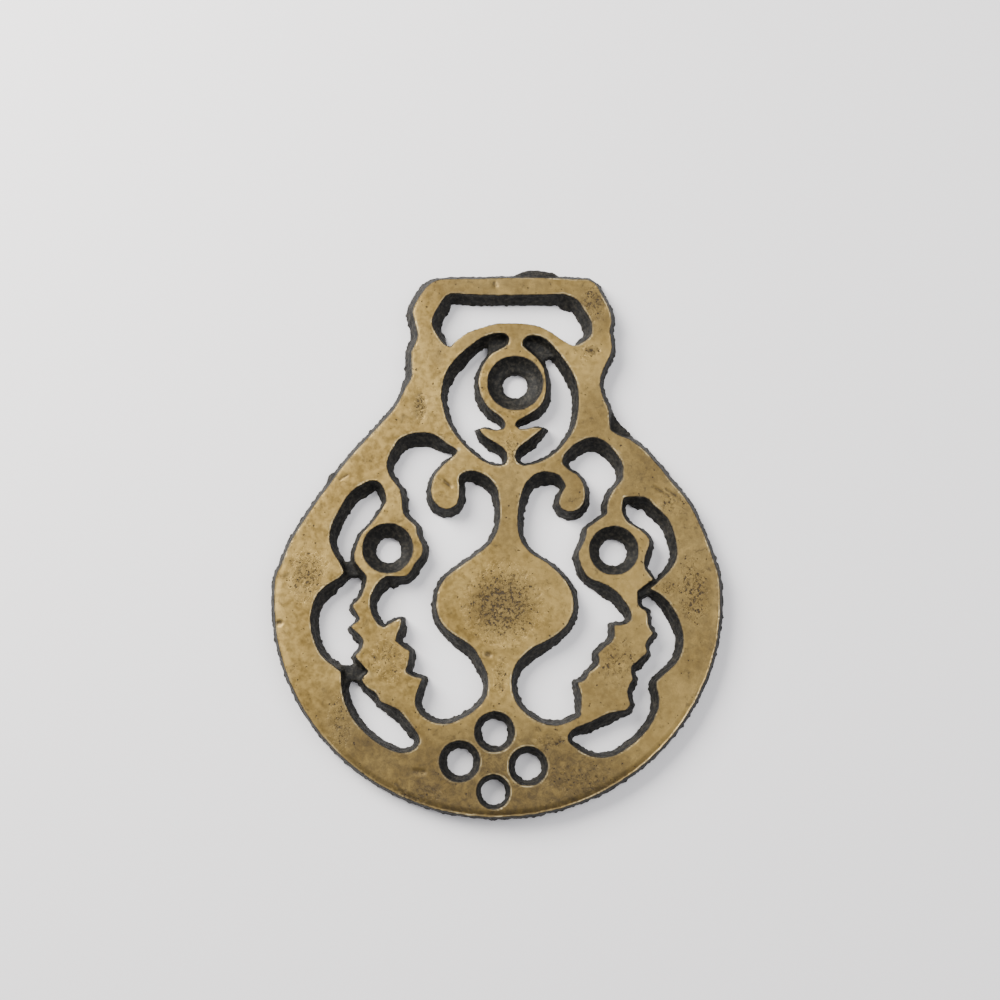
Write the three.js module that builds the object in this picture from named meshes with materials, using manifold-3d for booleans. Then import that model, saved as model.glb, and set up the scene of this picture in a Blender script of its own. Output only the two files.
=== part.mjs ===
// A cast horse brass: a flat openwork plate with a round lower part, concave
// shoulders and a strap hanger on top. It lies on its back, face up. +Y runs from
// the foot of the plate to the hanger, and the origin is under the plate's middle.

import * as THREE from 'three';
import { mergeVertices } from 'three/addons/utils/BufferGeometryUtils.js';
import Module from 'manifold-3d';

const wasm = await Module();
wasm.setup();

// ---- driving dimensions, in millimetres ----
const plateThickness = 3.0;
const edgeDrop = 0.15; // the worn edge of the face lies this far under the face
const edgeInset = 0.2; // and the flat face starts this far in from it
const holeDraft = 1.05; // a pierced hole is this much narrower all round at the back
const upperWallDraft = 0.8; // and up to this much more where it rounds off towards the hanger
const bendReach = 3; // points each way over which a ring's bend is taken
const slotTopDraft = 0.55; // less in the strap slot, so that a strap passes
const slotFootDraft = 0; // its lower side, where the strap bears, stands upright
const slotEndDraft = 1.5;
const rimDraft = 0.95; // the outer edge is this much wider at the back
const hangerDraft = 1.4; // and more along the hanger's left side
const rimShift = 0.5; // the outer edge's back lies this far towards the hanger
const narrowestDraft = 0.7; // share of a narrow gap's half width that its draft may take
const outlineStep = 1.0; // spacing of the points along an outline
const webHeight = 1.3; // casting webs left low down in the piercings
const tallWebHeight = 2.2;
const saucerDepth = 1.7; // of a roundel's saucer, at the edge of its hole
const saucerBreak = { width: 0.35, height: 0.25 }; // worn corner between saucer and hole
const saucerSlope = [ // points up the saucer's side: distance in from the rim, depth under the face
  { inset: 1.0, depth: 1.15 },
  { inset: 0.35, depth: 0.45 },
];
const roundelFlare = 0.1; // a roundel's rim is worn this much wider at the face
const eyeletLip = 0.6; // height of the straight stretch at the back of an eyelet
const eyeletTaper = 0.05; // an eyelet is this much narrower than its rim at the worn edge
const cutterLift = 0.02; // a cutter's flare ends this far over the face
const cutterReach = 1; // and cutters run this far past the plate
const roundSegments = 26;
const beadSegments = 20;
const beadRings = 12;
const weldDistance = 1e-4; // points closer than this are one point

// The roundels and the four eyelets: centre, radius of the rim at the face, radius
// of the round hole at the back.
const roundels = [
  [2.95, 26.1, 4.6, 2.0],
  [-17.0, -0.65, 4.1, 2.0],
  [18.3, -1.0, 4.0, 2.15],
];
const eyelets = [
  [-0.3, -29.05, 3.15, 2.05],
  [-5.6, -33.5, 3.2, 2.0],
  [4.8, -34.2, 3.05, 2.0],
  [-0.5, -38.05, 2.65, 1.9],
];

// The rim of the round lower part is an ellipse.
const rim = { x: 0.1, y: -8.3, rx: 34.6, ry: 33.5, from: 5.6, to: -185.6, turns: 17 };

// ---- outlines of the face ----
// An outline is a ring of runs. A run is a smooth curve through its points, and it
// ends at a corner, on the first point of the next run. The wall under a run has the
// usual draft, or one of its own.

const withDraft = (draft, run) => Object.assign(run, { draft });

function arcPoints({ x, y, rx, ry, from, to, turns }) {
  const [start, end] = [from, to].map(THREE.MathUtils.degToRad);
  const arc = new THREE.EllipseCurve(x, y, rx, ry, start, end, to < from);
  return arc.getPoints(turns).map((p) => [p.x, p.y]);
}

const outer = [
  [
    [-9.9, 43.3], [-8.5, 43.5], [-2, 43.6], [5.6, 43.75], [12.4, 43.5], [15.1, 43.3], [16.1, 42.5],
    [17.1, 40.6], [18, 38.8], [18.5, 36.65], [18.2, 34.9], [18.4, 33.1], [18.5, 31.7], [17.8, 29.9],
    [16.65, 27.3], [16.5, 25.5], [16.9, 23.8], [17.8, 21.7], [17.9, 19.8],
  ],
  [[18, 18.35], [19.5, 17.4]],
  [
    [21, 16.9], [23, 15.4], [25.3, 12.8], [27.4, 10.1], [29.5, 7.5], [30.8, 5.35], [31.9, 2.9],
    [33, 0], [34, -3.1],
    ...arcPoints(rim),
    [-33.5, -3.1], [-32.35, 0], [-30.8, 2.8], [-28.1, 7], [-25.9, 10.1], [-24.35, 12.4],
    [-22.5, 14.7], [-20.3, 17.2], [-18.2, 19.6], [-16.5, 21.5], [-15.25, 23.7],
  ],
  withDraft(hangerDraft, [
    [-14.33, 25.6], [-13.6, 27], [-13.6, 29.4], [-13.65, 31.35], [-13.07, 32.6], [-12.65, 34],
    [-12.93, 35.6], [-13.55, 38.1], [-13.15, 39.25], [-12.3, 40.8], [-11.2, 42.35],
  ]),
];

const strapSlot = [
  withDraft(slotEndDraft, [
    [-7.35, 32.1], [-8.35, 32.4], [-9.4, 33.75], [-10.3, 35.35], [-10.5, 36.6], [-9.3, 39.05],
    [-8.1, 40.8],
  ]),
  withDraft(slotTopDraft, [[-7.3, 41.1], [-2.8, 40.85], [7.3, 40.85]]),
  withDraft(slotEndDraft, [
    [10.7, 41], [12.6, 40.4], [13.6, 39.3], [14.3, 38], [15.1, 36.65], [15.4, 35], [15.1, 33.8],
    [14.2, 33.1], [13.1, 32.4],
  ]),
  withDraft(slotFootDraft, [
    [12.15, 32.4], [10.8, 33.15], [8.95, 34.5], [7.4, 35.35], [5.05, 35.97], [0, 36.05],
    [-2.05, 35.5], [-4.75, 34.5], [-6.6, 33.1],
  ]),
];

const leftRing = [
  [
    [-2.8, 18.6], [-1.7, 18.65], [-0.35, 18.3], [1.2, 18.55], [1.35, 19.6], [0.17, 20.9],
    [-1.1, 21.85], [-2.2, 23.3], [-2.85, 25.5], [-2.7, 27.7], [-2, 29.4], [-0.75, 30.95],
    [0.85, 31.85], [1.95, 32.7], [1.87, 34.1], [0.35, 34.4], [-2.2, 33.75], [-5.6, 31.1],
    [-7.87, 28.35], [-8.83, 24.9], [-8.4, 21.5], [-7.3, 18.75], [-4.4, 15.1], [-1.7, 13.1],
    [0.35, 12.5], [1.6, 12.95], [1.57, 14.9], [-0.35, 16.4], [-2.05, 17.5],
  ],
];

const rightRing = [
  [
    [7.6, 18.75], [5.8, 18.75], [3.6, 18.45], [2.8, 19.4], [4.25, 20.4], [5.6, 21.2], [6.9, 22.25],
    [7.7, 23.8], [7.9, 26], [7.5, 28.5], [6.5, 30.2], [5, 31.5], [4.05, 32.6], [4.58, 33.75],
    [6.1, 34.1], [7.8, 33.45], [9.1, 32.2], [11.6, 28.8], [12.75, 26.2], [13.05, 22.5],
    [12.45, 19.1], [11, 16.5], [9.6, 14.9], [7.9, 13.7], [6.2, 12.95], [4.1, 12.6], [3, 13.4],
    [3.2, 15.2], [5.05, 16.75], [6.4, 17.85],
  ],
];

const leftLyre = [
  [
    [-6.15, 15], [-7.95, 16.2], [-9.8, 17.6], [-12, 18], [-15.2, 17.1], [-16.35, 15.55],
    [-17.3, 13.5], [-17.15, 11.5], [-16.3, 10.1], [-15.25, 8.75], [-14.9, 7.2], [-14.6, 4.8],
    [-13.5, 3.65],
  ],
  [
    [-12.6, 2.8], [-12.5, 1.5], [-11.6, -0.1], [-11.6, -1.6], [-12.7, -3], [-13.85, -4.9],
    [-15.3, -5.15], [-16.9, -5], [-18.2, -5.8], [-19.4, -7.75], [-19.65, -9.8], [-18.75, -12],
    [-17.6, -13.1], [-16.3, -12.3],
  ],
  [[-14.75, -11.7], [-14.8, -12.7], [-15.35, -14.05]],
  [[-15.6, -15], [-14.65, -16]],
  [[-13.4, -16.7], [-13.5, -18.1]],
  [[-14.05, -19.9], [-12.7, -20.7]],
  [
    [-11.35, -20.9], [-12.1, -22.6], [-12.5, -24.6], [-11.9, -26.1], [-10.15, -27.4], [-7.95, -27.9],
    [-5.8, -27.3], [-3.37, -25.8], [-1.63, -23.9], [-1.3, -21], [-2.35, -18.25], [-3.9, -15.9],
    [-6.4, -14.3], [-8.3, -12.7], [-9.3, -10.2], [-9.15, -7.8], [-8.1, -5.5], [-5.9, -3.7],
    [-2.9, -1.5], [-0.9, 0.3], [0.3, 2.7], [0.5, 6], [-0.07, 9.2], [-1.75, 11.05], [-4.15, 11.75],
    [-5.97, 10.85], [-5.85, 8.7], [-6.3, 6.3], [-7.6, 5.6], [-9.3, 6.15], [-10.3, 8], [-9.9, 10.7],
    [-8.4, 12.7], [-6.8, 14.1],
  ],
];

const rightLyre = [
  [
    [10.9, 9.2], [9.95, 7.5], [9.87, 5.95], [11, 5.25], [12.5, 5.35], [13.7, 6.6], [13.85, 8.9],
    [13, 10.85], [11.2, 12], [10.33, 13.3], [11.2, 15], [13.3, 16.6], [15.2, 17.2], [17.05, 16.6],
    [18.65, 14.95], [19.85, 12.85],
  ],
  [[19.9, 10.4], [18.4, 8.6], [17.5, 6.8]],
  [[17.3, 4.8], [15.7, 3.6]],
  [
    [14.2, 2.5], [13.85, 0.8], [12.8, -1.5], [13.2, -3.3], [14.3, -5.3], [16.35, -6.1],
    [18.2, -7.1], [19.85, -8.95], [20.95, -11.4], [20, -12.6],
  ],
  [[18.1, -12.65], [18.05, -14.9], [16.8, -16]],
  [[15.6, -17.1], [15.8, -18.7]],
  [[14.2, -20.05], [13.7, -21.15]],
  [[12.35, -21.6], [12.95, -23.2]],
  [
    [12.85, -26.6], [11, -27.6], [9.05, -28.1], [6.65, -27.6], [4.3, -26.1], [2.8, -24.1],
    [2.25, -20.9], [3.1, -18.55], [5.4, -16.3], [8.2, -14.9], [10.55, -13.05], [11.8, -10.7],
    [11.7, -7.7], [10.2, -5.15], [8, -3.1], [5.3, -1.35], [3.9, 0.4], [3.3, 3], [3.6, 6.65],
    [4.65, 9.9], [6.35, 11.35], [8.3, 11.6], [10.05, 10.85],
  ],
];

// The leaf-edged crescents that run between the rim and the lyre frame.
const leftCrescent = [
  [
    [-17.3, 6.75], [-17.6, 8.4], [-18.2, 9.65], [-19.35, 10.25], [-21.2, 9.6], [-23.1, 8.2],
    [-24.8, 5.25], [-25.9, 2.9], [-26.1, 0.5], [-25.35, -1.6], [-24.4, -3],
  ],
  [
    [-23.75, -4.5], [-24.7, -5.5], [-26.35, -6.45], [-28, -8.15], [-28.8, -11.5], [-28.3, -14.7],
    [-27.05, -17.35], [-25.2, -18.95],
  ],
  [
    [-23.9, -19.9], [-23.65, -23.1], [-22.45, -26.3], [-20.2, -29.05], [-17.6, -31.05],
    [-14.7, -32.2], [-12.8, -31.9], [-11.7, -30.8], [-11.8, -29.8], [-13.25, -27.75],
    [-15, -25.7], [-16.5, -25],
  ],
  [[-17.8, -24.45], [-18.45, -23.1], [-19.75, -22.4]],
  [[-20.75, -21.15]],
  [[-19.65, -19.9], [-20.8, -18.7]],
  [[-21.85, -17.45], [-20.8, -16.4], [-20.55, -15]],
  [[-22.55, -13]],
  [[-21.15, -11.8]],
  [
    [-22.4, -9.6], [-21.2, -8.5], [-20.55, -6.9], [-20.2, -5.2], [-21.2, -3.9], [-22.25, -2.5],
    [-21.95, -0.6], [-21.1, 1.6], [-19.4, 3.5],
  ],
];

const rightCrescent = [
  [
    [20, 7.5], [22, 7.6], [23.7, 7.35], [24.9, 6.05], [26.85, 4.05], [27.75, 1.75], [28.2, -2],
    [26.75, -4.4], [25, -6],
  ],
  [
    [23.8, -7.05], [25.5, -8], [27.1, -9.7], [28.4, -12.35], [28.85, -14.8], [28.05, -18],
    [26, -20.1], [24.4, -21.65], [24.75, -23.1], [24.85, -25], [24, -27.2], [22.4, -29.45],
    [19.9, -31.5], [17.4, -32.8], [14.6, -32.75], [12.4, -31.75], [10.75, -30.1], [11.55, -28.8],
    [14.4, -27.5], [17.35, -26.15], [19.9, -25.7],
  ],
  [[20.55, -24.95], [20.05, -22.6]],
  [[20.95, -21.1], [20.65, -19.25], [21.9, -18.1]],
  [[23.15, -16.95], [22.95, -15.5]],
  [[24.2, -14], [23.35, -12.5], [23.3, -10.7], [22, -9.7]],
  [[21.9, -7.4]],
  [
    [24.35, -5.6], [22.95, -3.4], [23.4, -1.35], [24, 0.4], [22.8, 2.05], [20.6, 3.45],
    [19.65, 5.2],
  ],
];

// ---- webs: low bridges of metal across the piercings, and one in the right shoulder ----
const webs = [
  { height: webHeight, corners: [[-25, -2.6], [-21.6, -2.2], [-20, -4.8], [-24.6, -5.2]] },
  {
    height: webHeight,
    corners: [[-25, -18.6], [-20.6, -18.7], [-19, -20.2], [-20, -21.2], [-24.5, -21.2]],
  },
  { height: tallWebHeight, corners: [[21.3, -7.2], [24.6, -4.9], [25.2, -7], [22.6, -8.4]] },
  { height: webHeight, corners: [[-1.5, 31], [-1.4, 35], [2.6, 35], [2.8, 31.8]] },
  {
    height: webHeight,
    corners: [[3.4, 32.8], [4.4, 34.9], [7.6, 34.7], [10.8, 31.4], [10, 30.5], [8.5, 30.8], [7.2, 30]],
  },
  {
    height: webHeight,
    corners: [[16.6, 22.5], [17.3, 24.2], [18.4, 22.1], [19.4, 20.3], [20.2, 19.4], [21.5, 18.2], [19, 16.5]],
  },
];

// The stump of the pouring gate behind the top edge, and a bead on the left rim.
const beads = [
  { at: [6.4, 43.9, 1.1], radii: [4.3, 1.75, 1.1] },
  { at: [-25.9, 10.4, 0.9], radii: [1.1, 1.5, 0.9] },
];

// ---- making the plate ----

function sampleOutline(runs) {
  const ring = [];
  runs.forEach((run, i) => {
    const points = [...run, runs[(i + 1) % runs.length][0]].map(([x, y]) => new THREE.Vector3(x, y, 0));
    const curve = new THREE.CatmullRomCurve3(points, false, 'centripetal');
    const pieces = Math.max(1, Math.round(curve.getLength() / outlineStep));
    for (const { x, y } of curve.getSpacedPoints(pieces).slice(0, -1)) {
      ring.push(Object.assign(new THREE.Vector2(x, y), { draft: run.draft }));
    }
  });
  return THREE.ShapeUtils.isClockWise(ring) ? ring.reverse() : ring;
}

// Unit normals of a ring that runs anticlockwise, pointing out of what it encloses.
function outwardNormals(ring) {
  return ring.map((p, i) => {
    const before = ring.at(i - 1);
    const after = ring[(i + 1) % ring.length];
    const along = p.clone().sub(before).normalize().add(after.clone().sub(p).normalize());
    return new THREE.Vector2(along.y, -along.x).normalize();
  });
}

// How a ring bends at each point: 1 where it bulges out, 0 where it is dented in.
function bulges(ring) {
  return ring.map((p, i) => {
    const into = p.clone().sub(ring.at(i - bendReach)).normalize();
    const outOf = ring[(i + bendReach) % ring.length].clone().sub(p).normalize();
    return THREE.MathUtils.smoothstep(into.cross(outOf), -0.5, 0.3);
  });
}

// Moves a ring to its outside (side 1) or inside (side -1), each point by a distance
// of its own. A point goes no further than a share of the radius of the largest
// circle that touches the ring there, so a narrow notch never folds over itself.
function offsetRing(ring, side, distanceAt) {
  const normals = outwardNormals(ring);
  return ring.map((p, i) => {
    const way = normals[i].clone().multiplyScalar(side);
    let reach = distanceAt(p, i, normals[i]);
    for (const q of ring) {
      const gap = q.clone().sub(p);
      const facing = gap.dot(way);
      if (facing > 0) reach = Math.min(reach, (narrowestDraft * gap.lengthSq()) / (2 * facing));
    }
    return p.clone().addScaledVector(way, reach);
  });
}

// The plate's outer ring grows towards the back; a hole's ring shrinks.
function levelsOf(ring, isHole) {
  const bulge = bulges(ring);
  const usualDraft = (i, normal) =>
    isHole ? holeDraft + upperWallDraft * bulge[i] * Math.max(0, normal.y) : rimDraft;
  const back = offsetRing(ring, isHole ? -1 : 1, (p, i, normal) => p.draft ?? usualDraft(i, normal));
  if (!isHole) back.forEach((p) => p.setY(p.y + rimShift));
  const face = offsetRing(ring, isHole ? 1 : -1, () => edgeInset);
  return [
    { ring: back, z: 0 },
    { ring, z: plateThickness - edgeDrop },
    { ring: face, z: plateThickness },
  ];
}

function makePlate(outerRing, holeRings) {
  const walls = [levelsOf(outerRing, false), ...holeRings.map((ring) => levelsOf(ring, true))];
  const positions = [];
  const indices = [];
  const starts = walls.map((levels) =>
    levels.map(({ ring, z }) => {
      const start = positions.length / 3;
      ring.forEach((p) => positions.push(p.x, p.y, z));
      return start;
    }),
  );

  walls.forEach((levels, w) => {
    const count = levels[0].ring.length;
    for (let level = 0; level < levels.length - 1; level += 1) {
      for (let i = 0; i < count; i += 1) {
        const next = (i + 1) % count;
        const a = starts[w][level] + i;
        const b = starts[w][level] + next;
        const c = starts[w][level + 1] + next;
        const d = starts[w][level + 1] + i;
        if (w === 0) indices.push(a, b, c, a, c, d);
        else indices.push(a, c, b, a, d, c);
      }
    }
  });

  const capLevels = [0, walls[0].length - 1];
  for (const level of capLevels) {
    const rings = walls.map((levels) => levels[level].ring);
    const lookup = walls.flatMap((levels, w) => levels[level].ring.map((_, i) => starts[w][level] + i));
    for (const [a, b, c] of THREE.ShapeUtils.triangulateShape(rings[0], rings.slice(1))) {
      if (level === 0) indices.push(lookup[a], lookup[c], lookup[b]);
      else indices.push(lookup[a], lookup[b], lookup[c]);
    }
  }

  const geometry = new THREE.BufferGeometry();
  geometry.setAttribute('position', new THREE.Float32BufferAttribute(positions, 3));
  geometry.setIndex(indices);
  return geometry;
}

function toSolid(geometry) {
  const bare = geometry.clone();
  bare.deleteAttribute('normal');
  bare.deleteAttribute('uv');
  const merged = mergeVertices(bare, weldDistance);
  return new wasm.Manifold(
    new wasm.Mesh({
      numProp: 3,
      vertProperties: new Float32Array(merged.attributes.position.array),
      triVerts: new Uint32Array(merged.index.array),
    }),
  );
}

function toGeometry(solid) {
  const mesh = solid.getMesh();
  const geometry = new THREE.BufferGeometry();
  geometry.setAttribute('position', new THREE.Float32BufferAttribute(mesh.vertProperties, 3));
  geometry.setIndex(Array.from(mesh.triVerts));
  return geometry;
}

// A dished roundel: a saucer sinks from its rim to a round hole at its middle.
function roundelCutter([x, y, rimRadius, holeRadius]) {
  const saucerFloor = plateThickness - saucerDepth;
  const profile = [
    [0, -cutterReach],
    [holeRadius, -cutterReach],
    [holeRadius, saucerFloor - saucerBreak.height],
    [holeRadius + saucerBreak.width, saucerFloor],
    ...saucerSlope.map(({ inset, depth }) => [rimRadius - inset, plateThickness - depth]),
    [rimRadius + roundelFlare, plateThickness + cutterLift],
    [rimRadius + roundelFlare, plateThickness + cutterReach],
    [0, plateThickness + cutterReach],
  ];
  return lathe(profile).translate(x, y, 0);
}

// An eyelet: a round hole that flares towards the face.
function eyeletCutter([x, y, rimRadius, holeRadius]) {
  const profile = [
    [0, -cutterReach],
    [holeRadius, -cutterReach],
    [holeRadius, eyeletLip],
    [rimRadius - eyeletTaper, plateThickness - edgeDrop],
    [rimRadius + edgeInset, plateThickness + cutterLift],
    [rimRadius + edgeInset, plateThickness + cutterReach],
    [0, plateThickness + cutterReach],
  ];
  return lathe(profile).translate(x, y, 0);
}

function lathe(profile) {
  const points = profile.map(([radius, height]) => new THREE.Vector2(radius, height));
  return new THREE.LatheGeometry(points, roundSegments).rotateX(Math.PI / 2);
}

function webBlock({ height, corners }) {
  const shape = new THREE.Shape(corners.map(([x, y]) => new THREE.Vector2(x, y)));
  return new THREE.ExtrudeGeometry(shape, { depth: height, bevelEnabled: false });
}

function bead({ at, radii }) {
  return new THREE.SphereGeometry(1, beadSegments, beadRings).scale(...radii).translate(...at);
}

const piercings = [strapSlot, leftRing, rightRing, leftLyre, rightLyre, leftCrescent, rightCrescent];
let casting = toSolid(makePlate(sampleOutline(outer), piercings.map(sampleOutline)));
for (const block of [...webs.map(webBlock), ...beads.map(bead)]) casting = casting.add(toSolid(block));
for (const cutter of [...roundels.map(roundelCutter), ...eyelets.map(eyeletCutter)]) {
  casting = casting.subtract(toSolid(cutter));
}

const plate = toGeometry(casting);
plate.computeBoundingBox();
const middle = plate.boundingBox.getCenter(new THREE.Vector3());
plate.translate(-middle.x, -middle.y, 0);
plate.computeVertexNormals();

const brassFinish = { name: 'brass', color: 0x9a8150, roughness: 0.42, metalness: 0.9 };
const brass = new THREE.MeshStandardMaterial(brassFinish);
const horseBrass = new THREE.Mesh(plate, brass);
horseBrass.name = 'horse_brass';

const model = new THREE.Group();
model.add(horseBrass);

export default model;
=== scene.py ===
import math
import random

import bmesh
import bpy
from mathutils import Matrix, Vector, kdtree, noise


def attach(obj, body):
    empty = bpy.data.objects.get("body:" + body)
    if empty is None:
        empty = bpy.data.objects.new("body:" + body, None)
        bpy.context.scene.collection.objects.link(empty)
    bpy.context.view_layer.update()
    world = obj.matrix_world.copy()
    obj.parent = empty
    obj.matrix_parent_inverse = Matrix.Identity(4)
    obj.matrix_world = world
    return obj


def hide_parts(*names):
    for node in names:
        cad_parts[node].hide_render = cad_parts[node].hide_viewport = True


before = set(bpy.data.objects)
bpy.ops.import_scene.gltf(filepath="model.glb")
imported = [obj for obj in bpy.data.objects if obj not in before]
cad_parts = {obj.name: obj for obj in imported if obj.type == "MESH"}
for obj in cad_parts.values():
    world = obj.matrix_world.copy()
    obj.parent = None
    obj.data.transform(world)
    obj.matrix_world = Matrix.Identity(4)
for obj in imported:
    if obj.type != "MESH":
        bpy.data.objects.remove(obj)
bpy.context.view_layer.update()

mm = 0.001
scene = bpy.context.scene

# places on the brass are given in mm from a point on its middle line, a little
# below the middle of the footprint, and z from the floor
layout = {"middleX": 0.1, "middleY": 1.7, "thickness": 3.0}


def place(x, y, z=0.0):
    return Vector((x - layout["middleX"], y - layout["middleY"], z)) * mm


def smoothStep(low, high, value):
    t = min(max((value - low) / (high - low), 0.0), 1.0)
    return t * t * (3.0 - 2.0 * t)


cameraSettings = {
    "at": (0.55, -40.85, 238.2),  # over the foot of the brass
    "tiltDegrees": 11.5,  # leans towards the hanger
    "lens": 55.0,
    "sensor": 36.0,
    "nearest": 0.01,  # metres
}


def makeCamera(s):
    data = bpy.data.cameras.new("camera")
    data.lens = s["lens"]
    data.sensor_width = s["sensor"]
    data.clip_start = s["nearest"]
    camera = bpy.data.objects.new("camera", data)
    camera.location = place(*s["at"])
    camera.rotation_euler = (math.radians(s["tiltDegrees"]), 0.0, 0.0)
    scene.collection.objects.link(camera)
    scene.camera = camera


makeCamera(cameraSettings)
print("camera placed")


# short ways to add material nodes and join them
def newMaterial(name):
    material = bpy.data.materials.new(name)
    material.use_nodes = True
    nodes = material.node_tree.nodes
    nodes.clear()
    output = nodes.new("ShaderNodeOutputMaterial")
    shader = nodes.new("ShaderNodeBsdfPrincipled")
    material.node_tree.links.new(shader.outputs["BSDF"], output.inputs["Surface"])
    return material, shader


def addNode(tree, kind, inputs=None, **settings):
    node = tree.nodes.new(kind)
    for key, value in settings.items():
        setattr(node, key, value)
    for key, value in (inputs or {}).items():
        if isinstance(value, bpy.types.NodeSocket):
            tree.links.new(value, node.inputs[key])
        else:
            node.inputs[key].default_value = value
    return node


def noiseOf(tree, coords, scale, detail, roughness, distortion=0.0):
    values = {"Vector": coords, "Scale": scale, "Detail": detail, "Roughness": roughness}
    values["Distortion"] = distortion
    return addNode(tree, "ShaderNodeTexNoise", values).outputs["Fac"]


def rampOf(tree, value, low, high, fromValue=0.0, toValue=1.0):
    values = {"Value": value, "From Min": low, "From Max": high, "To Min": fromValue, "To Max": toValue}
    return addNode(tree, "ShaderNodeMapRange", values, interpolation_type="SMOOTHSTEP").outputs["Result"]


def mathOf(tree, operation, a, b):
    return addNode(tree, "ShaderNodeMath", {0: a, 1: b}, operation=operation).outputs["Value"]


def mixColors(tree, factor, a, b):
    values = {"Factor": factor, 6: a, 7: b}
    return addNode(tree, "ShaderNodeMix", values, data_type="RGBA").outputs[2]


def mixValues(tree, factor, a, b):
    return addNode(tree, "ShaderNodeMix", {"Factor": factor, 2: a, 3: b}, data_type="FLOAT").outputs[0]


def attributeOf(tree, name):
    return addNode(tree, "ShaderNodeAttribute", attribute_name=name).outputs["Fac"]


# the aged brass: colours are linear, scales are per metre
finish = {
    "brassDull": (0.2, 0.13, 0.037, 1.0),
    "brassBright": (0.39, 0.27, 0.086, 1.0),
    "rubbedEdgeAndGlint": (0.85, 0.72, 0.42, 1.0),  # edges rubbed bright, also a painted highlight along them
    "stain": (0.05, 0.038, 0.024, 1.0),
    "pitBrown": (0.015, 0.009, 0.005, 1.0),
    "wallDark": (0.005, 0.0048, 0.0042, 1.0),
    "wallLight": (0.036, 0.032, 0.024, 1.0),
    # noises: scale, detail, roughness, distortion
    "clouds": (115.0, 5.0, 0.6, 0.3),  # broad clouding of the face
    "grain": (950.0, 5.0, 0.65),
    "freckles": (620.0, 3.0, 0.7, 0.5),
    "pitGroups": (1035.0, 3.0, 0.6),
    "eaten": (2070.0, 5.0, 0.72, 0.4),
    "blotches": (700.0, 7.0, 0.8, 0.4),
    "wallClouds": (1500.0, 6.0, 0.7),
    "pitScale": 2300.0,
    # ramps: from and to in the noise, then the values they give
    "cloudTone": (0.3, 0.7, 0.0, 0.62),
    "grainTone": (0.32, 0.68, 0.0, 0.38),
    "freckleTone": (0.56, 0.74, 0.0, 0.55),
    "pitReach": (0.54, 0.72, 0.0, 0.52),
    "pitEdge": (0.0, 0.14),
    "eatenTone": (0.51, 0.62),
    "blotchTone": (0.25, 0.66, 0.4, 1.0),
    "wallTone": (0.42, 0.72),
    "satin": (0.3, 0.7, 0.36, 0.5),  # roughness of the clean face
    "pitWidening": 0.14,  # how far the pitted patches widen the pits
    "pitStrength": 0.85,
    "eatenStrength": 0.8,
    # on clean metal, then where pits or patina cover it
    "metallic": (0.92, 0.05),
    "specular": (0.5, 0.2),
    "soiledRoughness": 0.62,
    # relief finer than the mesh, on the face and then on the walls
    "grainRelief": (0.22, 1.2),
    "pitRelief": (-0.9, -0.3),
    "cloudRelief": 0.4,
    "bumpStrength": 0.8,
    "bumpDepth": 0.00016,  # metres
}


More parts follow.
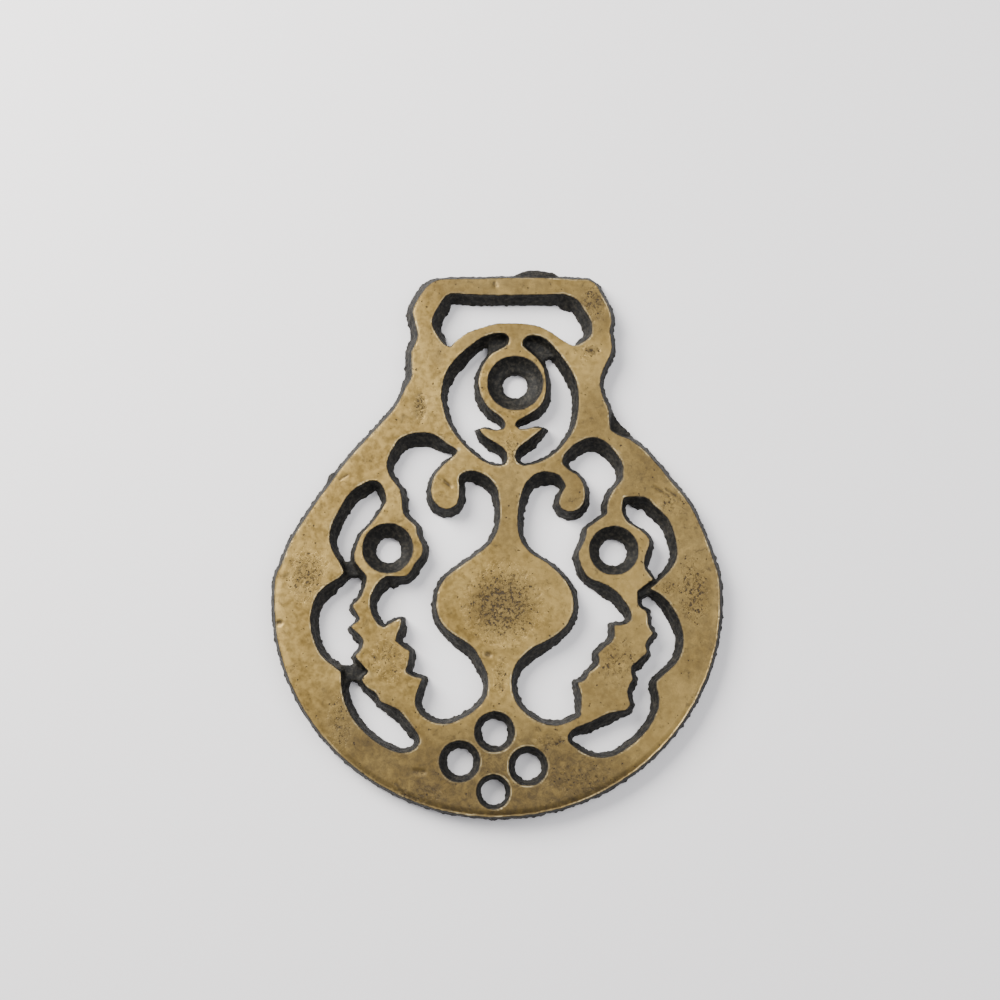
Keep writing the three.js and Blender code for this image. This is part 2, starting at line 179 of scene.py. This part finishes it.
def makeBrassMaterial(s):
    material, shader = newMaterial("agedCastBrass")
    tree = material.node_tree
    coords = addNode(tree, "ShaderNodeTexCoord").outputs["Object"]
    wall = attributeOf(tree, "wall")
    stain = attributeOf(tree, "stain")
    pitting = attributeOf(tree, "pitting")
    wornAndGlint = attributeOf(tree, "wornAndGlint")

    # clouded satin face with a fine grain and freckles
    clouds = noiseOf(tree, coords, *s["clouds"])
    grain = noiseOf(tree, coords, *s["grain"])
    cloudTone = rampOf(tree, clouds, *s["cloudTone"])
    grainTone = rampOf(tree, grain, *s["grainTone"])
    face = mixColors(tree, mathOf(tree, "ADD", cloudTone, grainTone), s["brassDull"], s["brassBright"])
    freckles = noiseOf(tree, coords, *s["freckles"])
    face = mixColors(tree, rampOf(tree, freckles, *s["freckleTone"]), face, s["stain"])

    # round brown pits, wider where the pitting attribute is high
    cellValues = {"Vector": coords, "Scale": s["pitScale"], "Randomness": 1.0}
    cells = addNode(tree, "ShaderNodeTexVoronoi", cellValues)
    widening = mathOf(tree, "MULTIPLY", pitting, s["pitWidening"])
    groups = mathOf(tree, "ADD", noiseOf(tree, coords, *s["pitGroups"]), widening)
    inPit = mathOf(tree, "SUBTRACT", rampOf(tree, groups, *s["pitReach"]), cells.outputs["Distance"])
    roundPit = mathOf(tree, "MULTIPLY", rampOf(tree, inPit, *s["pitEdge"]), s["pitStrength"])

    # metal eaten away in ragged specks between them
    eatenTone = rampOf(tree, noiseOf(tree, coords, *s["eaten"]), *s["eatenTone"])
    eaten = mathOf(tree, "MULTIPLY", eatenTone, pitting)
    pit = mathOf(tree, "MAXIMUM", roundPit, mathOf(tree, "MULTIPLY", eaten, s["eatenStrength"]))

    # blotched stains, then pits, then the edges rubbed bright again, partly as a painted highlight
    blotches = noiseOf(tree, coords, *s["blotches"])
    stained = mathOf(tree, "MULTIPLY", stain, rampOf(tree, blotches, *s["blotchTone"]))
    dirty = mixColors(tree, stained, face, s["stain"])
    dirty = mixColors(tree, pit, dirty, s["pitBrown"])
    # the bright edge colour is partly rubbed wear and partly a painted highlight, laid along every edge of
    # the face
    dirty = mixColors(tree, wornAndGlint, dirty, s["rubbedEdgeAndGlint"])

    # black patina on the walls and in the recesses
    wallClouds = noiseOf(tree, coords, *s["wallClouds"])
    patina = mixColors(tree, rampOf(tree, wallClouds, *s["wallTone"]), s["wallDark"], s["wallLight"])
    tree.links.new(mixColors(tree, wall, dirty, patina), shader.inputs["Base Color"])

    soiled = mathOf(tree, "MAXIMUM", wall, mathOf(tree, "MAXIMUM", pit, stained))
    covered = mathOf(tree, "MAXIMUM", wall, pit)
    tree.links.new(mixValues(tree, covered, *s["metallic"]), shader.inputs["Metallic"])
    tree.links.new(mixValues(tree, covered, *s["specular"]), shader.inputs["Specular IOR Level"])
    satin = rampOf(tree, grain, *s["satin"])
    tree.links.new(mixValues(tree, soiled, satin, s["soiledRoughness"]), shader.inputs["Roughness"])

    fine = mathOf(tree, "MULTIPLY", grain, mixValues(tree, wall, *s["grainRelief"]))
    sunk = mathOf(tree, "MULTIPLY", pit, mixValues(tree, wall, *s["pitRelief"]))
    broad = mathOf(tree, "MULTIPLY", clouds, s["cloudRelief"])
    height = mathOf(tree, "ADD", mathOf(tree, "ADD", fine, sunk), broad)
    bumpValues = {"Height": height, "Strength": s["bumpStrength"], "Distance": s["bumpDepth"]}
    bump = addNode(tree, "ShaderNodeBump", bumpValues)
    tree.links.new(bump.outputs["Normal"], shader.inputs["Normal"])
    return material


# the casting: lengths in mm, noise scales per metre
casting = {
    "mergeWithin": 0.001,
    "voxel": 0.25,
    "smoothing": 1,
    "lowSmoothing": 4,  # more for the lower part of the walls
    "lowBelow": 2.2,
    "smoothFactor": 0.5,
    "seed": 7,
    # patina: depth under the face where it starts and where it is full
    "wallFrom": 0.05,
    "wallFull": 0.2,
    "fringe": 0.07,  # how ragged its upper edge is
    "fringeScale": 900.0,
    # bright wear along the edges of the face, partly a painted highlight
    "wearGlintStrength": 0.85,
    "wearGlintMean": 0.55,
    "wearGlintSpread": 0.9,
    "wearGlintScale": 260.0,
    "wearGlintRange": (0.35, 0.8),
    "wearGlintWidth": (0.05, 0.26),
    # the face, on the upper part of the plate
    "upperFrom": 1.5,
    "crispness": 0.25,  # share of the remeshed edge's rounding that stays
    "crispDepth": 0.3,
    "crispFacing": 0.45,
    "faceWave": 0.05,
    "waveScale": 95.0,
    "rippleScale": 240.0,
    "rippleShare": 0.5,
    "edgeWave": 0.4,  # share of the waves that is left at an edge
    "edgeWaveWidth": (0.1, 0.8),
    "standProud": 0.05,  # how far the waves may rise over the plate
    # the rim, rubbed down on one side
    "rimSlope": 0.4,
    "rimWidth": 1.2,
    "rimMiddleY": -8.0,
    "rimTurn": 1.3,  # radians
    "rimFall": 1.5,
    # cuts and folds: how far round one is looked at, and how fast dirt fills it
    "cutReach": 4.0,
    "cutDirt": 1.4,
    # pits
    "pitRadius": (0.2, 0.42),
    "pitDepth": (0.04, 0.13),
    "pitReach": 1.6,  # of the radius
    "pitWaist": 0.6,
    "pitDirt": 0.9,
    # rough cast walls, ragged near the back
    "wallRough": 0.11,
    "roughScale": 1100.0,
    "fineRoughScale": 2300.0,
    "fineRoughShare": 0.7,
    "steepRange": (0.15, 0.6),  # how upright a surface is before it counts as wall
    "recessRough": 0.5,
    "recessAbove": 0.3,
    "backRag": 0.24,
    "ragScale": 1900.0,
    "ragInward": -0.2,
    "broadRagScale": 700.0,
    "broadRagShare": 0.5,
    "ragHeight": 0.3,  # metres: one height for the noise keeps the rags straight up a wall
    "ragRange": (0.3, 1.4),
    # flash along the foot of the slot's upper wall
    "slotFlash": 0.5,
    "flashMiddleX": 2.0,
    "flashHalf": 12.0,
    "flashFade": 8.0,
    "flashY": (39.0, 41.5),
    "flashTop": 2.2,
    "flashFacing": -0.4,
    # the flat back
    "backSkin": 0.02,
    "backKeep": 0.06,  # share of its triangles that stay
    "mostTriangles": 192000,
}

# where the face's rubbed edge meets the walls: heights, and which edges count
edgeBand = {"low": 2.6, "high": 2.9, "level": 0.02, "longest": 1.6, "steps": 5}

# the rim lies outside these: the bowl is an ellipse, the belly and the neck lean inwards
rimPlace = {
    "bowlTop": -3.0,
    "bowlMiddle": (0.1, -8.3),
    "bowlHalf": (34.6, 33.5),
    "bowlShare": 0.93,
    "bellyTop": 18.0,
    "bellyHalf": 33.8,
    "bellyKnee": 6.0,
    "bellyLean": 0.42,
    "neckTop": 42.9,
    "neckRight": 16.0,
    "neckLeft": -12.3,
    "neckFoot": 24.0,
    "neckLean": 0.33,
}

patchFade = (0.35, 1.15)  # a patch fades between these shares of its size
patchReach = 1.2  # nothing is left of it past this share

# stains and broad darkening on the face: x, y, half length, half width, turned by degrees, strength
stains = [
    (15.3, 39.6, 2.6, 3.6, 20, 0.75), (15.2, 31.6, 1.6, 0.9, 10, 0.8), (-9.4, 30.0, 1.0, 3.0, -12, 0.55),
    (-12.2, 22.0, 1.4, 2.6, -12, 0.55), (0.8, -9.5, 6.4, 6.0, 0, 0.72), (-29.6, -5.5, 3.0, 3.8, 15, 0.35),
    (-26.5, 13.5, 1.2, 2.2, -40, 0.3), (-6.5, 13.9, 1.6, 0.8, 20, 0.45), (-15.5, -30.5, 5.5, 2.4, -25, 0.3),
    (-13.5, -37.0, 7.5, 2.4, -28, 0.55), (-24.5, -26.0, 2.0, 6.0, 28, 0.45),
    (-8.5, -29.8, 3.0, 1.3, -10, 0.4),
    (0.0, -33.6, 1.7, 1.6, 0, 0.6), (11.0, -37.0, 6.5, 1.6, 16, 0.4), (13.5, -34.5, 5.0, 1.2, 10, 0.3),
    (27.0, 8.2, 2.6, 1.2, -35, 0.45), (31.0, -4.0, 1.6, 4.5, 5, 0.35), (26.5, -7.0, 1.6, 1.2, 0, 0.45),
    (19.8, -14.5, 2.2, 2.8, 10, 0.3), (16.5, 22.0, 0.9, 3.2, 4, 0.35), (2.2, 3.0, 1.6, 7.0, 0, 0.22),
    (-27.5, -17.0, 1.6, 4.0, 20, 0.3), (-16.5, 26.5, 0.7, 1.6, 0, 0.25),
    # broad darkening over the foot and the right side
    (2.0, -38.0, 34.0, 14.0, 0, 0.88), (31.0, -4.0, 12.0, 30.0, 0, 0.62), (22.0, 12.0, 10.0, 9.0, 0, 0.66),
    (14.0, 38.0, 7.0, 7.0, 0, 0.62), (0.0, 42.0, 16.0, 4.0, 0, 0.58), (2.0, 6.0, 4.5, 12.0, 0, 0.52),
    (17.0, 20.0, 8.0, 10.0, 0, 0.54), (0.0, 34.5, 14.0, 5.0, 0, 0.4), (20.0, -20.0, 16.0, 13.0, -20, 0.5),
    (-18.0, -31.0, 13.0, 8.0, -38, 0.8), (14.0, 5.0, 12.0, 16.0, 0, 0.58), (2.5, -8.0, 6.5, 6.0, 0, 0.4),
]

# patches of pits: x, y, half length, half width, how many, strength
pitPatches = [
    (1.0, -9.6, 6.4, 6.6, 120, 1.0), (-12.1, 22.1, 1.0, 2.4, 34, 1.0), (15.6, 39.6, 2.2, 3.4, 46, 0.9),
    (15.2, 31.5, 1.6, 0.9, 16, 1.0), (-29.5, -5.0, 3.0, 4.4, 44, 0.7), (30.6, -7.5, 2.6, 6.0, 46, 0.75),
    (12.5, -36.0, 6.0, 2.6, 40, 0.6), (-16.5, -17.5, 2.6, 4.0, 24, 0.6), (18.5, -18.5, 3.0, 4.6, 26, 0.6),
    (-24.0, -28.0, 2.0, 5.0, 24, 0.6), (3.2, 22.0, 1.4, 1.4, 12, 0.6), (2.6, 15.5, 1.6, 3.0, 18, 0.6),
    (26.8, -6.8, 1.6, 1.4, 14, 0.8), (0.6, -20.5, 1.2, 3.0, 14, 0.6), (8.5, -30.5, 3.0, 1.2, 16, 0.7),
    (-15.0, 29.5, 1.0, 5.0, 16, 0.5), (27.5, 6.5, 2.6, 2.0, 18, 0.6), (-11.8, -38.5, 4.0, 1.6, 18, 0.6),
]

# cuts and folds in the face: from, to, half width, depth
scratches = [
    ((-8.3, 10.1), (-7.2, 9.2), 0.22, 0.22), ((24.6, 9.2), (27.2, 7.6), 0.25, 0.16),
    ((26.4, 8.9), (29.0, 7.2), 0.22, 0.14), ((-12.5, -35.0), (-11.0, -35.1), 0.4, 0.2),
    ((-24.8, 10.2), (-23.4, 11.1), 0.15, 0.1), ((-34.4, -12.4), (-33.4, -12.4), 0.3, 0.2),
    ((7.2, -30.7), (7.6, -31.8), 0.2, 0.16), ((-0.4, 42.9), (-0.2, 42.4), 0.35, 0.18),
    ((-1.5, -17.2), (-1.1, -17.3), 0.4, 0.22), ((-15.2, -36.8), (-14.2, -38.4), 0.3, 0.1),
]


def mmOf(co):
    return co.x / mm + layout["middleX"], co.y / mm + layout["middleY"], co.z / mm


def makeBlank(nodeName, mergeWithin):
    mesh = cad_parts[nodeName].data.copy()
    mesh.name = "castBrass"
    mesh.materials.clear()
    bm = bmesh.new()
    bm.from_mesh(mesh)
    bmesh.ops.remove_doubles(bm, verts=bm.verts, dist=mergeWithin * mm)
    bm.to_mesh(mesh)
    bm.free()
    piece = bpy.data.objects.new("castBrass", mesh)
    scene.collection.objects.link(piece)
    return piece


def applyModifiers(piece):
    graph = bpy.context.evaluated_depsgraph_get()
    mesh = bpy.data.meshes.new_from_object(piece.evaluated_get(graph))
    piece.modifiers.clear()
    old = piece.data
    piece.data = mesh
    bpy.data.meshes.remove(old)


def onRim(x, y, s):
    # true on the outer edge of the plate, false round the piercings
    if y < s["bowlTop"]:
        across = (x - s["bowlMiddle"][0]) / s["bowlHalf"][0]
        along = (y - s["bowlMiddle"][1]) / s["bowlHalf"][1]
        return across ** 2 + along ** 2 > s["bowlShare"]
    if y < s["bellyTop"]:
        lean = max(0.0, y - s["bowlTop"]) + max(0.0, y - s["bellyKnee"])
        return abs(x) > s["bellyHalf"] - lean * s["bellyLean"]
    if y < s["neckTop"]:
        return x > s["neckRight"] or x < s["neckLeft"] - max(0.0, s["neckFoot"] - y) * s["neckLean"]
    return True


def edgeTree(mesh, s, ofRim):
    # points close together along the edge of the face, of the rim or of the piercings
    low, high = s["low"] * mm, s["high"] * mm
    points = []
    for edge in mesh.edges:
        a, b = (mesh.vertices[i].co for i in edge.vertices)
        inBand = low < a.z < high and low < b.z < high
        if not inBand or abs(a.z - b.z) >= s["level"] * mm or (a - b).length >= s["longest"] * mm:
            continue
        if (onRim(*mmOf(a)[:2], rimPlace) and onRim(*mmOf(b)[:2], rimPlace)) == ofRim:
            points.extend(a.lerp(b, k / s["steps"]) for k in range(s["steps"]))
    tree = kdtree.KDTree(len(points))
    for i, p in enumerate(points):
        tree.insert((p.x, p.y, 0.0), i)
    tree.balance()
    return tree


def seededPits(rng, patches, s):
    pits = []
    for x, y, halfLong, halfWide, count, strength in patches:
        for _ in range(count):
            angle = rng.uniform(0.0, math.tau)
            out = math.sqrt(rng.random())
            at = place(x + halfLong * out * math.cos(angle), y + halfWide * out * math.sin(angle))
            radius = rng.uniform(*s["pitRadius"]) * mm
            pits.append((at, radius, rng.uniform(*s["pitDepth"]) * strength * mm))
    return pits


def ellipseWeight(x, y, cx, cy, halfLong, halfWide, turn=0.0):
    c, s = math.cos(math.radians(turn)), math.sin(math.radians(turn))
    u = ((x - cx) * c + (y - cy) * s) / halfLong
    v = (-(x - cx) * s + (y - cy) * c) / halfWide
    return 1.0 - smoothStep(*patchFade, math.hypot(u, v))


def stainAt(x, y):
    dirt = 0.0
    for cx, cy, halfLong, halfWide, turn, strength in stains:
        reach = halfLong + halfWide
        if abs(x - cx) < reach and abs(y - cy) < reach:
            dirt = max(dirt, strength * ellipseWeight(x, y, cx, cy, halfLong, halfWide, turn))
    return dirt


def pittingAt(x, y):
    near = 0.0
    for cx, cy, halfLong, halfWide, _, strength in pitPatches:
        if abs(x - cx) < patchReach * halfLong and abs(y - cy) < patchReach * halfWide:
            near = max(near, strength * ellipseWeight(x, y, cx, cy, halfLong, halfWide))
    return near


def segmentDistance(x, y, a, b):
    ax, ay = a
    dx, dy = b[0] - ax, b[1] - ay
    t = min(max(((x - ax) * dx + (y - ay) * dy) / (dx * dx + dy * dy), 0.0), 1.0)
    return math.hypot(x - ax - t * dx, y - ay - t * dy)


def waveFace(shift, vertex, toRim, nearEdge, onFace, s):
    # the edge is made crisp again, the face waves a little and the rim is rubbed down
    co = vertex.co
    x, y, z = mmOf(co)
    depth = layout["thickness"] - z
    if depth < s["crispDepth"] and vertex.normal.z > s["crispFacing"]:
        shift.z += (1.0 - s["crispness"]) * depth
    wave = noise.noise(co * s["waveScale"]) + s["rippleShare"] * noise.noise(co * s["rippleScale"])
    inner = smoothStep(*s["edgeWaveWidth"], nearEdge)
    shift.z += s["faceWave"] * wave * (s["edgeWave"] + (1.0 - s["edgeWave"]) * inner)
    rubbed = 0.5 + 0.5 * math.cos(math.atan2(y - s["rimMiddleY"], x) + s["rimTurn"])
    lower = s["rimSlope"] * (1.0 - smoothStep(0.0, s["rimWidth"], toRim)) * rubbed ** s["rimFall"]
    shift.z -= lower * onFace


def cutFace(shift, x, y, onFace, s):
    # cuts and folds go in, and hold dirt
    dirt = 0.0
    for a, b, halfWide, deep in scratches:
        if abs(x - a[0]) < s["cutReach"] and abs(y - a[1]) < s["cutReach"]:
            away = segmentDistance(x, y, a, b)
            cut = math.exp(-((away / halfWide) ** 2)) * onFace
            shift.z -= deep * cut
            dirt = max(dirt, min(s["cutDirt"] * cut, 1.0))
    return dirt


def roughenWall(shift, vertex, wall, s):
    co, normal = vertex.co, vertex.normal
    z = mmOf(co)[2]
    fine = s["fineRoughShare"] * noise.noise(co * s["fineRoughScale"])
    rough = s["wallRough"] * (noise.noise(co * s["roughScale"]) + fine)
    level = Vector((co.x, co.y, s["ragHeight"]))
    broad = s["broadRagShare"] * noise.noise(level * s["broadRagScale"])
    ragged = s["backRag"] * (max(noise.noise(level * s["ragScale"]), s["ragInward"]) + broad)
    foot = 1.0 - smoothStep(*s["ragRange"], z)
    outward = Vector((normal.x, normal.y, 0.0))
    steep = smoothStep(*s["steepRange"], 1.0 - abs(normal.z)) * wall
    shift += outward * (rough + ragged * foot) * steep
    if z > s["recessAbove"]:
        shift.z += s["recessRough"] * rough * wall * (1.0 - steep)


def addSlotFlash(shift, vertex, s):
    x, y, z = mmOf(vertex.co)
    away = abs(x - s["flashMiddleX"])
    low, high = s["flashY"]
    inside = low < y < high and away < s["flashHalf"] and z < s["flashTop"]
    if inside and vertex.normal.y < s["flashFacing"]:
        fade = smoothStep(s["flashHalf"], s["flashFade"], away)
        shift.y -= s["slotFlash"] * (1.0 - z / s["flashTop"]) * fade


def paintAndRoughen(piece, cadMesh, s):
    mesh = piece.data
    rng = random.Random(s["seed"])
    rimEdge, holeEdge = edgeTree(cadMesh, edgeBand, True), edgeTree(cadMesh, edgeBand, False)
    count = len(mesh.vertices)
    wall, stain, pitting, wornAndGlint = ([0.0] * count for _ in range(4))
    moved = [None] * count
    surface = kdtree.KDTree(count)
    thickness = layout["thickness"]

    for i, vertex in enumerate(mesh.vertices):
        co = vertex.co
        x, y, z = mmOf(co)
        surface.insert(co, i)
        fringe = noise.noise(co * s["fringeScale"]) * s["fringe"]
        wall[i] = smoothStep(s["wallFrom"], s["wallFull"], thickness - z + fringe)
        onFace = 1.0 - wall[i]
        flat = Vector((co.x, co.y, 0.0))
        toRim = rimEdge.find(flat)[2] / mm
        nearEdge = min(toRim, holeEdge.find(flat)[2] / mm)
        # the bright edge band: partly rubbed wear, partly a painted highlight along the edges
        rubAndGlint = s["wearGlintMean"] + s["wearGlintSpread"] * noise.noise(co * s["wearGlintScale"])
        edge = 1.0 - smoothStep(*s["wearGlintWidth"], nearEdge)
        wornAndGlint[i] = onFace * smoothStep(*s["wearGlintRange"], rubAndGlint) * edge * s["wearGlintStrength"]
        pitting[i] = pittingAt(x, y)

        shift = Vector((0.0, 0.0, 0.0))
        if z > s["upperFrom"]:
            waveFace(shift, vertex, toRim, nearEdge, onFace, s)
        stain[i] = max(stainAt(x, y) * onFace, cutFace(shift, x, y, onFace, s))
        roughenWall(shift, vertex, wall[i], s)
        addSlotFlash(shift, vertex, s)
        moved[i] = co + shift * mm

    surface.balance()
    for at, radius, deep in seededPits(rng, pitPatches, s):
        for co, i, _ in surface.find_range((at.x, at.y, thickness * mm), s["pitReach"] * radius):
            away = (co.x - at.x) ** 2 + (co.y - at.y) ** 2
            fall = math.exp(-(away / (s["pitWaist"] * radius) ** 2))
            moved[i].z -= deep * fall * (1.0 - wall[i])
            stain[i] = max(stain[i], s["pitDirt"] * fall * (1.0 - wall[i]))

    for vertex, co in zip(mesh.vertices, moved):
        co.z = min(max(co.z, 0.0), (thickness + s["standProud"]) * mm)
        vertex.co = co
    for name, values in (("wall", wall), ("stain", stain), ("pitting", pitting), ("wornAndGlint", wornAndGlint)):
        attribute = mesh.attributes.new(name, "FLOAT", "POINT")
        attribute.data.foreach_set("value", values)
    mesh.update()


def thinBack(piece, s):
    # the flat back needs far fewer triangles than the weathered face
    skin = s["backSkin"] * mm
    group = piece.vertex_groups.new(name="back")
    group.add([v.index for v in piece.data.vertices if v.co.z < skin], 1.0, "REPLACE")
    backFaces = sum(1 for f in piece.data.polygons if f.center.z < skin)
    modifier = piece.modifiers.new("thin", "DECIMATE")
    modifier.vertex_group = "back"
    modifier.ratio = 1.0 - (1.0 - s["backKeep"]) * backFaces / len(piece.data.polygons)
    applyModifiers(piece)
    piece.vertex_groups.clear()
    triangles = sum(len(f.vertices) - 2 for f in piece.data.polygons)
    modifier = piece.modifiers.new("limit", "DECIMATE")
    modifier.ratio = min(s["mostTriangles"] / triangles, 1.0)
    applyModifiers(piece)


def makeCasting(s):
    piece = makeBlank("horse_brass", s["mergeWithin"])
    cadMesh = piece.data.copy()
    remesh = piece.modifiers.new("remesh", "REMESH")
    remesh.mode = "VOXEL"
    remesh.voxel_size = s["voxel"] * mm
    remesh.adaptivity = 0.0
    applyModifiers(piece)
    print("remeshed to", len(piece.data.polygons), "faces")

    bm = bmesh.new()
    bm.from_mesh(piece.data)
    sideways = {"factor": s["smoothFactor"], "use_axis_x": True, "use_axis_y": True}
    for _ in range(s["smoothing"]):
        bmesh.ops.smooth_vert(bm, verts=bm.verts, use_axis_z=True, **sideways)
    lowVerts = [v for v in bm.verts if v.co.z < s["lowBelow"] * mm]
    for _ in range(s["lowSmoothing"]):
        bmesh.ops.smooth_vert(bm, verts=lowVerts, **sideways)
    bm.normal_update()
    bm.to_mesh(piece.data)
    bm.free()

    paintAndRoughen(piece, cadMesh, s)
    bpy.data.meshes.remove(cadMesh)
    print("face worn, walls roughened")
    thinBack(piece, s)

    bm = bmesh.new()
    bm.from_mesh(piece.data)
    bmesh.ops.triangulate(bm, faces=bm.faces)
    for face in bm.faces:
        face.smooth = True
    bm.to_mesh(piece.data)
    bm.free()
    print("casting has", len(piece.data.polygons), "triangles")

    piece.data.materials.append(makeBrassMaterial(finish))
    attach(piece, "root")
    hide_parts("horse_brass")


makeCasting(casting)

floorSettings = {
    "size": 3.0,  # metres
    "color": (0.84, 0.825, 0.83, 1.0),
    "roughness": 0.9,
    "specular": 0.2,
}


def makeFloor(s):
    bm = bmesh.new()
    bmesh.ops.create_grid(bm, x_segments=1, y_segments=1, size=s["size"] / 2)
    mesh = bpy.data.meshes.new("floor")
    bm.to_mesh(mesh)
    bm.free()
    floor = bpy.data.objects.new("floor", mesh)
    scene.collection.objects.link(floor)
    material, shader = newMaterial("palePaper")
    shader.inputs["Base Color"].default_value = s["color"]
    shader.inputs["Roughness"].default_value = s["roughness"]
    shader.inputs["Specular IOR Level"].default_value = s["specular"]
    mesh.materials.append(material)


makeFloor(floorSettings)
print("floor laid")

# soft light from the upper left and a weaker one from the right: mm and watts
lights = [
    {
        "name": "window",
        "at": (-270.0, 215.0, 250.0),
        "size": 250.0,
        "power": 5.3,
        "color": (1.0, 0.98, 0.95),
    },
    {
        "name": "fill",
        "at": (230.0, 40.0, 330.0),
        "size": 300.0,
        "power": 1.2,
        "color": (0.97, 0.98, 1.0),
    },
]
skyLight = {"color": (0.95, 0.95, 1.0, 1.0), "strength": 0.55}


def makeLight(s):
    data = bpy.data.lights.new(s["name"], "AREA")
    data.size = s["size"] * mm
    data.energy = s["power"]
    data.color = s["color"]
    light = bpy.data.objects.new(s["name"], data)
    light.location = place(*s["at"])
    light.rotation_euler = (-light.location).to_track_quat("-Z", "Y").to_euler()
    scene.collection.objects.link(light)


def makeSky(s):
    world = bpy.data.worlds.new("sky")
    world.use_nodes = True
    background = world.node_tree.nodes["Background"]
    background.inputs["Color"].default_value = s["color"]
    background.inputs["Strength"].default_value = s["strength"]
    scene.world = world


for settings in lights:
    makeLight(settings)
makeSky(skyLight)
print("lights set")
